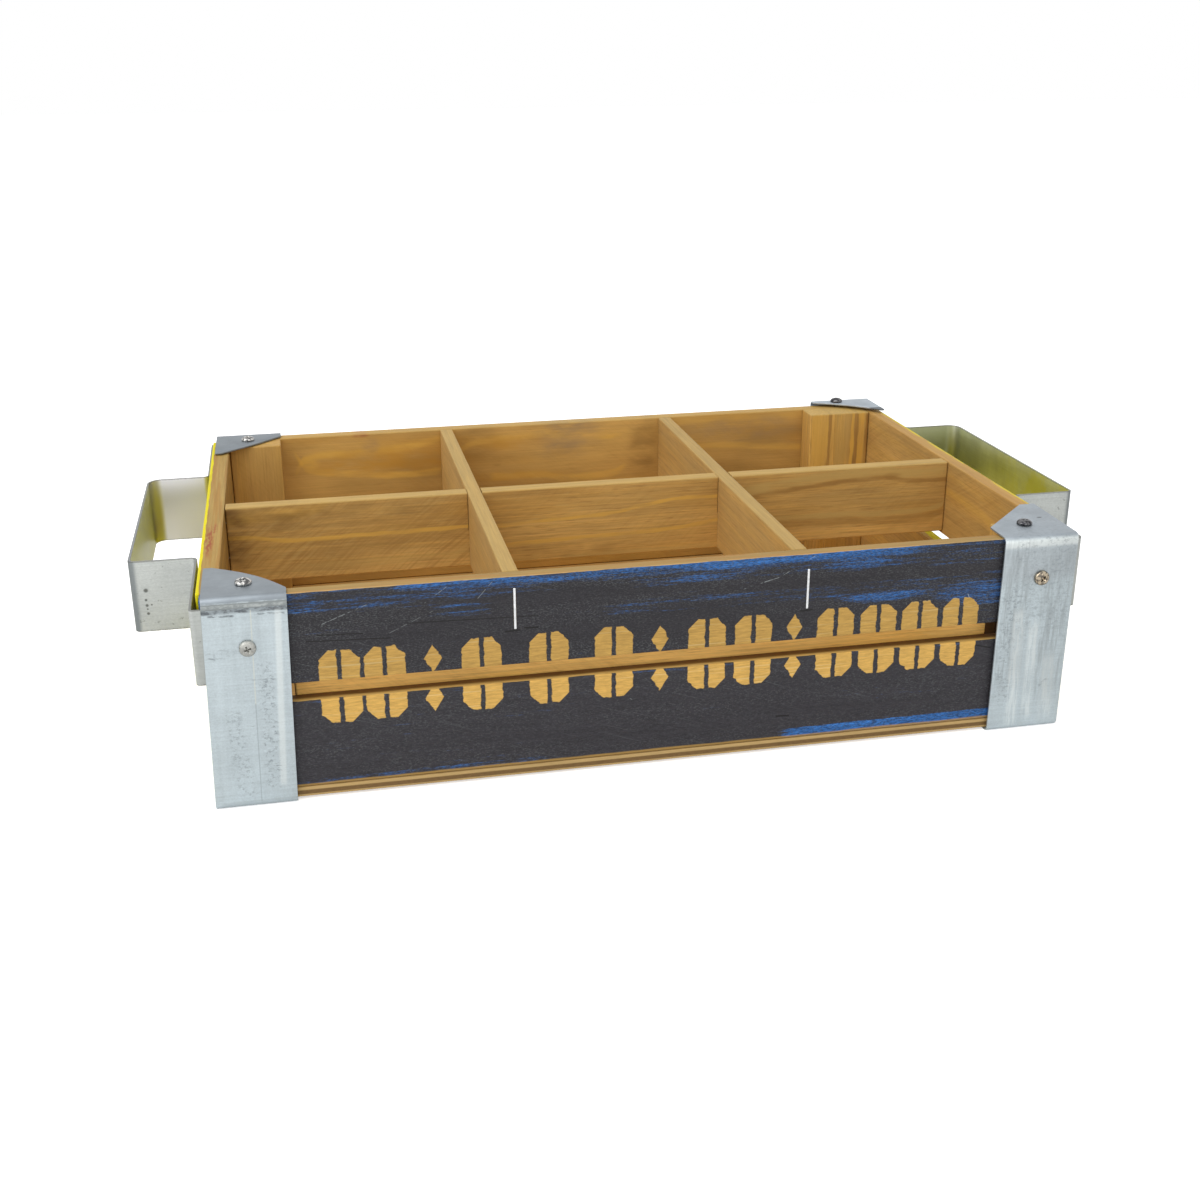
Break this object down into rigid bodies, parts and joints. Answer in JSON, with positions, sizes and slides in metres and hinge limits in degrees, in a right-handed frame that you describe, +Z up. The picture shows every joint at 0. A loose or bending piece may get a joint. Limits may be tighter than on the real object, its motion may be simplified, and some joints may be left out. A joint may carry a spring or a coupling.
{
  "type": "bar caddy",
  "caption": "Slatted wooden crate open at the top, split into square compartments by half-lapped dividers, with folded metal corner brackets and bent strap handles at its ends.",
  "frame": {"origin": "on the surface that the caddy stands on, under the middle of its box", "axes": "+X along the crate towards the right handle as seen in the picture, +Y from the front slats to the back slats, +Z up"},
  "size_m": [0.491, 0.2892, 0.1078],
  "materials": {
    "bare_wood": "sawn softwood with a honey stain, matt",
    "plywood": "thin plywood, matt, edges bare",
    "dark_painted_wood": "worn charcoal paint with blue showing through on the outer face, bare inside",
    "yellow_painted_wood": "yellow paint on the outer face, bare inside",
    "galvanised_sheet": "galvanised sheet, fine horizontal brushing",
    "galvanised_strap": "galvanised strap, dull",
    "screw_zinc": "bright zinc plate",
    "staple_wire": "bright drawn wire"
  },
  "bodies": {
    "root": {"back_ledger": "bare_wood", "back_left_bracket": "galvanised_sheet", "back_left_divider_staple": "staple_wire", "back_left_flap_screw": "screw_zinc", "back_left_foot_staple": "staple_wire", "back_left_lower_staple": "staple_wire", "back_left_panel_staple": "staple_wire", "back_left_plate_screw": "screw_zinc", "back_left_post": "bare_wood", "back_left_upper_staple": "staple_wire", "back_lower_slat": "dark_painted_wood", "back_right_bracket": "galvanised_sheet", "back_right_divider_staple": "staple_wire", "back_right_flap_screw": "screw_zinc", "back_right_foot_staple": "staple_wire", "back_right_lower_staple": "staple_wire", "back_right_panel_staple": "staple_wire", "back_right_plate_screw": "screw_zinc", "back_right_post": "bare_wood", "back_right_upper_staple": "staple_wire", "back_upper_slat": "dark_painted_wood", "bottom_panel": "plywood", "front_ledger": "bare_wood", "front_left_bracket": "galvanised_sheet", "front_left_divider_staple": "staple_wire", "front_left_flap_screw": "screw_zinc", "front_left_foot_staple": "staple_wire", "front_left_lower_staple": "staple_wire", "front_left_panel_staple": "staple_wire", "front_left_plate_screw": "screw_zinc", "front_left_post": "bare_wood", "front_left_upper_staple": "staple_wire", "front_lower_slat": "dark_painted_wood", "front_right_bracket": "galvanised_sheet", "front_right_divider_staple": "staple_wire", "front_right_flap_screw": "screw_zinc", "front_right_foot_staple": "staple_wire", "front_right_lower_staple": "staple_wire", "front_right_panel_staple": "staple_wire", "front_right_plate_screw": "screw_zinc", "front_right_post": "bare_wood", "front_right_upper_staple": "staple_wire", "front_upper_slat": "dark_painted_wood", "left_cross_divider": "bare_wood", "left_divider_staple": "staple_wire", "left_handle": "galvanised_strap", "left_lower_slat": "yellow_painted_wood", "left_panel_staple": "staple_wire", "left_upper_slat": "yellow_painted_wood", "long_divider": "bare_wood", "right_cross_divider": "bare_wood", "right_divider_staple": "staple_wire", "right_handle": "galvanised_strap", "right_lower_slat": "yellow_painted_wood", "right_panel_staple": "staple_wire", "right_upper_slat": "yellow_painted_wood"}
  },
  "joints": []
}
